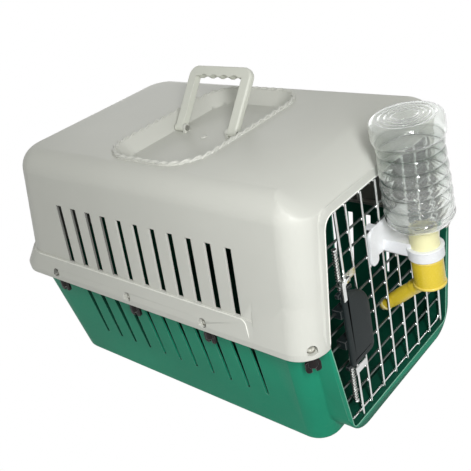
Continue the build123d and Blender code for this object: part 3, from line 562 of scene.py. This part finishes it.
def rounded_rectangle(half, corner, centre, count):
    """A level rounded rectangle as count points at even steps, with the outward normal of each.
    Each quarter is an arc whose centre sits one corner radius in from both sides, and the runs
    between the arcs are straight."""
    steps_round = 160
    turn = np.linspace(0, tau, steps_round + 1)[:-1]
    quarter = np.floor(turn / (tau / 4))
    side = np.stack([np.where((quarter == 0) | (quarter == 3), 1, -1),
                     np.where(quarter < 2, 1, -1)], axis=1)
    around = np.stack([np.cos(turn), np.sin(turn)], axis=1)
    points = centre + side * (half - corner) + corner * around
    points = np.vstack([points, points[:1]])
    length = run_length(points)
    at = np.linspace(0, length[-1], count, endpoint=False)
    place = even_points(points, at, length)
    ahead = closed_direction(place)
    return place, np.stack([ahead[:, 1], -ahead[:, 0]], axis=1), at, length[-1]


def rope_bead():
    """The twisted bead on the rim of the recess. Round the path the section is a circle of radius
    r0 + a cos(2 phi - twist), where the twist grows evenly along the path by one turn for every
    lay."""
    mean_radius, wave, nearest_lay = 0.0021, 0.0009, 0.0125
    along, around = 900, 12
    place, outward, at, total = rounded_rectangle(recess_half, recess_corner, recess_centre, along)
    lay = total / round(total / nearest_lay)
    phi = np.linspace(0, tau, around, endpoint=False)
    radius = mean_radius + wave * np.cos(2 * phi[None, :] - tau * at[:, None] / lay)
    across = radius * np.cos(phi)[None, :]
    up = radius * np.sin(phi)[None, :]
    points = np.stack([place[:, 0:1] + across * outward[:, 0:1],
                       place[:, 1:2] + across * outward[:, 1:2], rim_top + up], axis=2)
    mesh_object("recess_bead", points.reshape(-1, 3), grid_faces(along, around, wrap_rows=True),
                body_of("roof_shell"), finishes["shell_grey"], smooth=80)


def weld_knots():
    """The welds where wires cross. Each is an ellipsoid whose surface swells by a small wave, cos(3
    a) times cos(2 b), with another phase at each crossing. Their metal is paler than the wires as a
    painted glint."""
    knot_radius, knot_depth, wave, phase_step, pole_gap = 0.0021, 0.0018, 0.1, 2.4, 0.25
    across, up = np.meshgrid(upright_x, bar_heights, indexing="ij")
    ends_x, ends_z = np.meshgrid(upright_x, frame_wire_heights, indexing="ij")
    x = np.concatenate([across.ravel(), ends_x.ravel(), np.full(len(bar_heights), hinge_x)])
    z = np.concatenate([up.ravel(), ends_z.ravel(), bar_heights])
    x, z = x[:, None, None], z[:, None, None]
    phase = phase_step * np.arange(len(x))[:, None, None]
    a = np.linspace(0, tau, 10, endpoint=False)
    b = np.linspace(-pi / 2 + pole_gap, pi / 2 - pole_gap, 6)
    b = np.concatenate([[-pi / 2], b, [pi / 2]])
    rows, columns = len(b), len(a)
    a, b = a[None, None, :], b[None, :, None]
    swell = 1 + wave * np.cos(3 * a + phase) * np.cos(2 * b)
    points = np.stack([x + knot_radius * swell * np.cos(b) * np.cos(a),
                       weld_y + knot_depth * swell * np.sin(b) + 0 * a,
                       z + knot_radius * swell * np.cos(b) * np.sin(a)], axis=3)
    first = (rows * columns * np.arange(len(x)))[:, None, None]
    faces = (grid_faces(rows, columns)[None, :, :] + first).reshape(-1, 4)
    mesh_object("weld_knots", points.reshape(-1, 3), faces, body_of("vertical_wires"),
                finishes["weld_glint"], smooth=80)


def rounded_path(corners, radii, step=0.0015):
    """Points at even steps along straight runs whose corners are rounded. Each corner becomes a
    parabola that starts and ends one radius away from it along its two runs."""
    corners = np.array(corners, float)
    pieces = [corners[:1]]
    share = np.linspace(0, 1, 16)[:, None]
    for before, corner, after, radius in zip(corners, corners[1:], corners[2:], radii):
        start = corner + (before - corner) * radius / np.linalg.norm(before - corner)
        end = corner + (after - corner) * radius / np.linalg.norm(after - corner)
        pieces.append((1 - share) ** 2 * start + 2 * share * (1 - share) * corner
                      + share ** 2 * end)
    pieces.append(corners[-1:])
    points = np.vstack(pieces)
    length = run_length(points)
    at = np.linspace(0, length[-1], int(length[-1] / step) + 2)
    return even_points(points, at, length)


def bead_along(name, path, radius, side, body, finish):
    """A thin bead: a circle of one radius carried along a path. One axis of the circle is the given
    side direction made square to the path, and the other is square to both. Its ends taper to a
    point."""
    around, taper_steps, tip_share = 10, 3, 0.02
    ahead = np.gradient(path, axis=0)
    ahead /= np.linalg.norm(ahead, axis=1, keepdims=True)
    across = np.array(side) - np.sum(ahead * np.array(side), axis=1)[:, None] * ahead
    across /= np.linalg.norm(across, axis=1, keepdims=True)
    other = np.cross(ahead, across)
    phi = np.linspace(0, tau, around, endpoint=False)[None, :, None]
    count = len(path)
    steps_to_end = np.minimum(np.arange(count), np.arange(count)[::-1])
    taper = np.clip(steps_to_end / taper_steps, tip_share, 1)[:, None, None]
    points = path[:, None, :] + radius * taper * (np.cos(phi) * across[:, None, :]
                                                  + np.sin(phi) * other[:, None, :])
    mesh_object(name, points.reshape(-1, 3), capped_faces(count, around), body, finish,
                smooth=70)


def shell_edges():
    """The thin lips of the shells: round the door opening on both, and along the ledge of the roof
    shell on each side, where the line turns down at its front end. They are coloured paler than the
    shells as a painted highlight along these edges."""
    head_bend, sill_bend, ledge_bend = 0.014, 0.008, 0.007
    seam_gap, skirt_inset, ledge_fall = 0.003, 0.0008, 0.018
    lip, thin_lip = 0.0007, 0.0006
    portal = rounded_path([(-opening_seam, opening_face, seam),
                           (-opening_head, opening_face, opening_high),
                           (opening_head, opening_face, opening_high),
                           (opening_seam, opening_face, seam)], (head_bend, head_bend))
    bead_along("portal_lip", portal, lip, (0, 1, 0), body_of("roof_shell"),
               finishes["edge_highlight_grey"])
    jambs = rounded_path([(-opening_seam, opening_face, seam - seam_gap),
                          (-opening_sill, opening_face, sill), (opening_sill, opening_face, sill),
                          (opening_seam, opening_face, seam - seam_gap)], (sill_bend, sill_bend))
    bead_along("jamb_lip", jambs, thin_lip, (0, 1, 0), body_of("tub"),
               finishes["edge_highlight_green"])
    for side, name in ((-1, "ledge_lip_left"), (1, "ledge_lip_right")):
        ledge = rounded_path([(side * ledge_x, ledge_back, ledge_z),
                              (side * ledge_x, ledge_front, ledge_z),
                              (side * (skirt_x - skirt_inset), ledge_end, ledge_z - ledge_fall)],
                             (ledge_bend,))
        bead_along(name, ledge, lip, (0, 0, 1), body_of("roof_shell"),
                   finishes["edge_highlight_grey"])


def latch_cover():
    """The latch's dark cover. Its outline is a slab with a top that falls towards the middle of the
    door and rounded corners. The rim is carried round the outline by a quarter circle, and the
    face is crowned."""
    corner_radii = (0.009, 0.020, 0.014, 0.007)
    rim_radius = 0.0016
    crown_insets, crown_rises = (0.004, 0.008), (0.00025, 0.0004)
    middle = (plate_left + plate_right) / 2
    flat = [(middle, 0, plate_low), (plate_right, 0, plate_low),
            (plate_right, 0, plate_high_right), (plate_left, 0, plate_high),
            (plate_left, 0, plate_low), (middle, 0, plate_low)]
    outline = rounded_path(flat, corner_radii, 0.0012)[:-1][:, [0, 2]]
    ahead = closed_direction(outline)
    inward = np.stack([-ahead[:, 1], ahead[:, 0]], axis=1)
    turn = np.linspace(0, pi / 2, 6)
    inset = np.concatenate([[0.0], rim_radius * (1 - np.cos(turn)), crown_insets])
    level = np.concatenate([[plate_back], plate_front + rim_radius * (1 - np.sin(turn)),
                            plate_front - np.array(crown_rises)])
    plan = outline[None, :, :] + inset[:, None, None] * inward[None, :, :]
    points = np.concatenate([plan[..., :1], level[:, None, None] + 0 * plan[..., :1],
                             plan[..., 1:]], axis=2)
    piece = mesh_object("latch_cover", points.reshape(-1, 3),
                        capped_faces(len(level), len(outline)), body_of("latch_plate"),
                        finishes["latch_dark"], smooth=50)
    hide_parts("latch_plate")


def turned_ring(name, profile, place, turn, body, finish):
    """A ring: a closed profile of radius and height turned about an axis."""
    around = 72
    a = np.linspace(0, tau, around, endpoint=False)
    local = np.stack([profile[:, :1] * np.cos(a), profile[:, :1] * np.sin(a),
                      profile[:, 1:] + 0 * a], axis=2)
    points = place + local.reshape(-1, 3) @ turn.T
    mesh_object(name, points, grid_faces(len(profile), around, wrap_rows=True), body,
                finish, smooth=70)


def round_section(radius, height, across, up):
    """An ellipse of points about a radius and a height, as the section of a ring."""
    t = np.linspace(0, tau, 16, endpoint=False)
    return np.stack([radius + across * np.cos(t), height + up * np.sin(t)], axis=1)


def step_between(value, low, high):
    """0 below low, 1 above high, and a smooth cubic rise between them."""
    share = np.clip((value - low) / (high - low), 0, 1)
    return share * share * (3 - 2 * share)


def bottle_surface():
    """The blown bottle, base up. The profile runs along the neck, a domed shoulder, six bulging
    rings, a deep groove, a plain band and the heel to the middle of the base. Each ring is a
    rounded arch, |sin| to the power 0.45, on a body that widens from the groove down to the
    shoulder. The lower rings carry a grid of waves, cos(16 a) times cos(k z). On the base, rings
    and a dimple push the level in."""
    neck_low, neck_high, body_low = 0.0286, 0.0465, 0.064
    band_low, heel_low, base = 0.1445, 0.1585, 0.1655
    neck, shoulder, body, heel = 0.0115, 0.0338, 0.0349, 0.007
    ring_pitch, ring_depth, arch_power = 0.0134, 0.0021, 0.45
    waist_depth, waist_low, waist_high = 0.0016, 0.085, 0.13
    groove_height, band_inset, band_ease = 0.0035, 0.0006, 0.002
    grid_depth, grid_pitch, grid_count = 0.00045, 0.0067, 16
    grid_start, grid_full, grid_fade, grid_end = 0.066, 0.070, 0.100, 0.112
    shoulder_swell, shoulder_rise, base_middle = 1.15, 0.9, 0.0004
    dimple_depth, dimple_flat, dimple_edge = 0.0052, 0.003, 0.0135
    base_ring_depth, base_ring_pitch, base_ring_start, base_ring_full = 0.0011, 0.0058, 0.009, 0.013
    wall_thickness = 0.0007

    a = np.linspace(0, tau, 180, endpoint=False)
    t_neck = np.linspace(neck_low, neck_high, 6)[:-1]
    rise = np.linspace(0, 1, 16)[:-1]
    t_body = np.linspace(body_low, band_low, 132)
    t_band = np.linspace(band_low, heel_low, 14)[1:]
    t_heel = np.linspace(0, pi / 2, 12)[1:]
    t_base = np.linspace(body - heel, base_middle, 44)[1:]

    shoulder_r = neck + (shoulder - neck) * np.sin(rise * pi / 2) ** shoulder_swell
    shoulder_z = (neck_high + (body_low - neck_high)
                  * (1 - np.cos(rise * pi / 2)) ** shoulder_rise)
    waist = shoulder - waist_depth * step_between(t_body, waist_low, waist_high)
    arch = np.abs(np.sin(pi * (t_body - body_low) / ring_pitch)) ** arch_power
    body_r = waist - ring_depth * (1 - arch)
    open_groove = step_between(t_body, band_low - groove_height, band_low)
    body_r = body_r + (body - band_inset - body_r) * open_groove
    band_r = body - band_inset * (1 - step_between(t_band, band_low, band_low + band_ease))

    level = np.concatenate([t_neck, shoulder_z, t_body, t_band, heel_low + heel * np.sin(t_heel),
                            np.full(len(t_base), base)])
    reach = np.concatenate([np.full(len(t_neck), neck), shoulder_r, body_r, band_r,
                            body - heel + heel * np.cos(t_heel), t_base])
    ringed = np.concatenate([np.zeros(len(t_neck) + len(rise)), 1 - open_groove,
                             np.zeros(len(t_band) + len(t_heel) + len(t_base))])
    gridded = (ringed * (1 - step_between(level, grid_fade, grid_end))
               * step_between(level, grid_start, grid_full))
    grid = 0.5 - 0.5 * (np.cos(grid_count * a)[None, :]
                        * np.cos(tau * level / grid_pitch)[:, None])
    radius = reach[:, None] - grid_depth * gridded[:, None] * grid
    on_base = np.where(level >= base - 1e-9, 1.0, 0.0)
    base_rings = 0.5 - 0.5 * np.cos(tau * reach / base_ring_pitch)
    dip = on_base * (dimple_depth * (1 - step_between(reach, dimple_flat, dimple_edge))
                     + base_ring_depth * base_rings
                     * step_between(reach, base_ring_start, base_ring_full))
    height = (level - dip)[:, None] + 0 * a[None, :]
    local = np.stack([radius * np.cos(a)[None, :], radius * np.sin(a)[None, :], height], axis=2)
    points = dispenser_place + local.reshape(-1, 3) @ bottle_turn.T
    piece = mesh_object("bottle_blown", points, capped_faces(len(level), len(a), first=False),
                        body_of("bottle"), finishes["bottle_clear"], smooth=75)
    mark_groove_shade(piece.data, outer=0.0335, inner=0.0300, low=0.066, high=0.146)
    wall = piece.modifiers.new("wall", "SOLIDIFY")
    wall.thickness = wall_thickness
    wall.offset = -1
    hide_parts("bottle")


def mark_groove_shade(mesh, outer, inner, low, high):
    """Writes a point attribute that grows from 0 at the outer radius to 1 at the inner radius, on
    the bottle's body between two heights. It masks the painted shade in the grooves."""
    points = np.empty(3 * len(mesh.vertices))
    mesh.vertices.foreach_get("co", points)
    local = (points.reshape(-1, 3) - dispenser_place) @ bottle_turn
    reach = np.linalg.norm(local[:, :2], axis=1)
    on_body = (local[:, 2] > low) & (local[:, 2] < high)
    depth = (np.clip((outer - reach) / (outer - inner), 0, 1) * on_body).astype(np.float32)
    mesh.attributes.new("groove", "FLOAT", "POINT").data.foreach_set("value", depth)


def tube_sleeve():
    """The thick sleeve of the drinking tube. Its radius swells along the axis from the cup to the
    tip, r0 + b sin(pi s^1.3), and it ends in a rounded lip."""
    root_radius, swell, swell_power, bore = 0.0068, 0.0013, 1.3, 0.0056
    start, run, lip_in, lip_out, bore_depth = 0.012, 0.058, 0.0006, 0.0008, 0.004
    s = np.linspace(0, 1, 30)
    radius = root_radius + swell * np.sin(pi * s ** swell_power)
    along = start + run * s
    outer = np.stack([radius, along], axis=1)
    turn = np.linspace(0, pi, 9)[1:]
    lip = np.stack([radius[-1] - lip_in * (1 - np.cos(turn)),
                    along[-1] + lip_out * np.sin(turn)], axis=1)
    inner = np.stack([np.full(2, bore), [along[-1] - bore_depth, along[0]]], axis=1)
    turned_ring("tube_sleeve", np.vstack([outer, lip, inner]), tube_place, tube_turn,
                body_of("drinking_tube"), finishes["cup_yellow"])


rope_bead()
weld_knots()
shell_edges()
latch_cover()
tube_sleeve()

# Rings: name, section as radius, height and two half widths, place, turn, node, slot and finish
rings = (
    ("tube_tip", (0.0064, 0.0725, 0.0013, 0.0022), tube_place, tube_turn,
     "drinking_tube", "cup_yellow", "tube_tip"),
    ("cup_rim", (0.0160, -0.0195, 0.0011, 0.0016), dispenser_place, dispenser_turn,
     "valve_cup", "cup_yellow", "cup_rim"),
    ("cup_upper_rim", (0.0160, 0.0105, 0.0008, 0.0012), dispenser_place, dispenser_turn,
     "valve_cup", "cup_yellow", "cup_rim"),
    ("collar_edge", (0.0180, 0.0243, 0.0009, 0.0011), dispenser_place, dispenser_turn,
     "bottle_holder", "holder_white", "holder_white"),
)
for name, section, place, turn, carrier, slot, finish in rings:
    turned_ring(name, round_section(*section), place, turn, body_of(carrier),
                finishes[finish])
bottle_surface()


# Studio

def seen_ray(tree):
    """1 along rays from the camera, in mirrors and through glass, else 0."""
    path = add_node(tree, "ShaderNodeLightPath").outputs
    seen = calculated(tree, "MAXIMUM", path["Is Camera Ray"], path["Is Glossy Ray"])
    return calculated(tree, "MAXIMUM", seen, path["Is Transmission Ray"])


def floor_finish():
    """A pale surface that takes a soft shadow, but glows plain white where it is seen."""
    material, tree, shader = new_material("floor")
    shader.inputs["Base Color"].default_value = linear(floor_pale)
    shader.inputs["Roughness"].default_value = 0.9
    glow = add_node(tree, "ShaderNodeEmission", [("Color", (1, 1, 1, 1)), ("Strength", 1.0)])
    mix = add_node(tree, "ShaderNodeMixShader", [(0, seen_ray(tree)), (1, shader.outputs[0]),
                                                 (2, glow.outputs[0])])
    tree.links.new(mix.outputs[0], tree.nodes["Material Output"].inputs["Surface"])
    return material


floor_half = 6.0
floor_mesh = bpy.data.meshes.new("floor")
floor_mesh.from_pydata([(-floor_half, -floor_half, 0), (floor_half, -floor_half, 0),
                        (floor_half, floor_half, 0), (-floor_half, floor_half, 0)],
                       [], [(0, 1, 2, 3)])
floor = bpy.data.objects.new("floor", floor_mesh)
floor_mesh.materials.append(floor_finish())
bpy.context.scene.collection.objects.link(floor)


def area_light(name, place, target, size, power, tall=1.0):
    """A soft lamp that faces a point, tall times as high as it is wide."""
    lamp = bpy.data.lights.new(name, "AREA")
    lamp.shape = "RECTANGLE"
    lamp.size = size
    lamp.size_y = size * tall
    lamp.energy = power
    holder = bpy.data.objects.new(name, lamp)
    holder.location = place
    holder.rotation_euler = (Vector(target) - Vector(place)).to_track_quat("-Z", "Y").to_euler()
    bpy.context.scene.collection.objects.link(holder)


area_light("key", (-1.2, -1.1, 1.9), (0, -0.05, 0.15), size=0.7, power=4.5)
area_light("far", (1.4, 1.6, 0.6), (0, 0, 0.15), size=0.9, power=4)
area_light("near", (-0.54, -0.74, 0.66), (0, -0.12, 0.17), size=0.11, power=5.8, tall=3.6)

world = bpy.data.worlds.new("studio")
bpy.context.scene.world = world
world.use_nodes = True
sky = world.node_tree
sky.nodes.clear()
fill = add_node(sky, "ShaderNodeBackground", [("Color", (0.99, 1.0, 0.93, 1)),
                                              ("Strength", 0.26)])
white = add_node(sky, "ShaderNodeBackground", [("Color", (1, 1, 1, 1)), ("Strength", 1.0)])
choose = add_node(sky, "ShaderNodeMixShader", [(0, seen_ray(sky)), (1, fill.outputs[0]),
                                               (2, white.outputs[0])])
add_node(sky, "ShaderNodeOutputWorld", [(0, choose.outputs[0])])

# Camera
view_back = Vector((sin(camera_azimuth) * cos(camera_elevation),
                    -cos(camera_azimuth) * cos(camera_elevation), sin(camera_elevation)))
level_right = Vector((cos(camera_azimuth), sin(camera_azimuth), 0))
level_up = view_back.cross(level_right)
rolled_right = level_right * cos(camera_roll) + level_up * sin(camera_roll)
rolled_up = view_back.cross(rolled_right)
lens = bpy.data.cameras.new("camera")
lens.lens = camera_lens
lens.sensor_width = camera_sensor
camera = bpy.data.objects.new("camera", lens)
camera.matrix_world = Matrix((
    (rolled_right.x, rolled_up.x, view_back.x, camera_place.x),
    (rolled_right.y, rolled_up.y, view_back.y, camera_place.y),
    (rolled_right.z, rolled_up.z, view_back.z, camera_place.z),
    (0, 0, 0, 1)))
bpy.context.scene.collection.objects.link(camera)
bpy.context.scene.camera = camera
bpy.context.scene.view_settings.view_transform = "Standard"
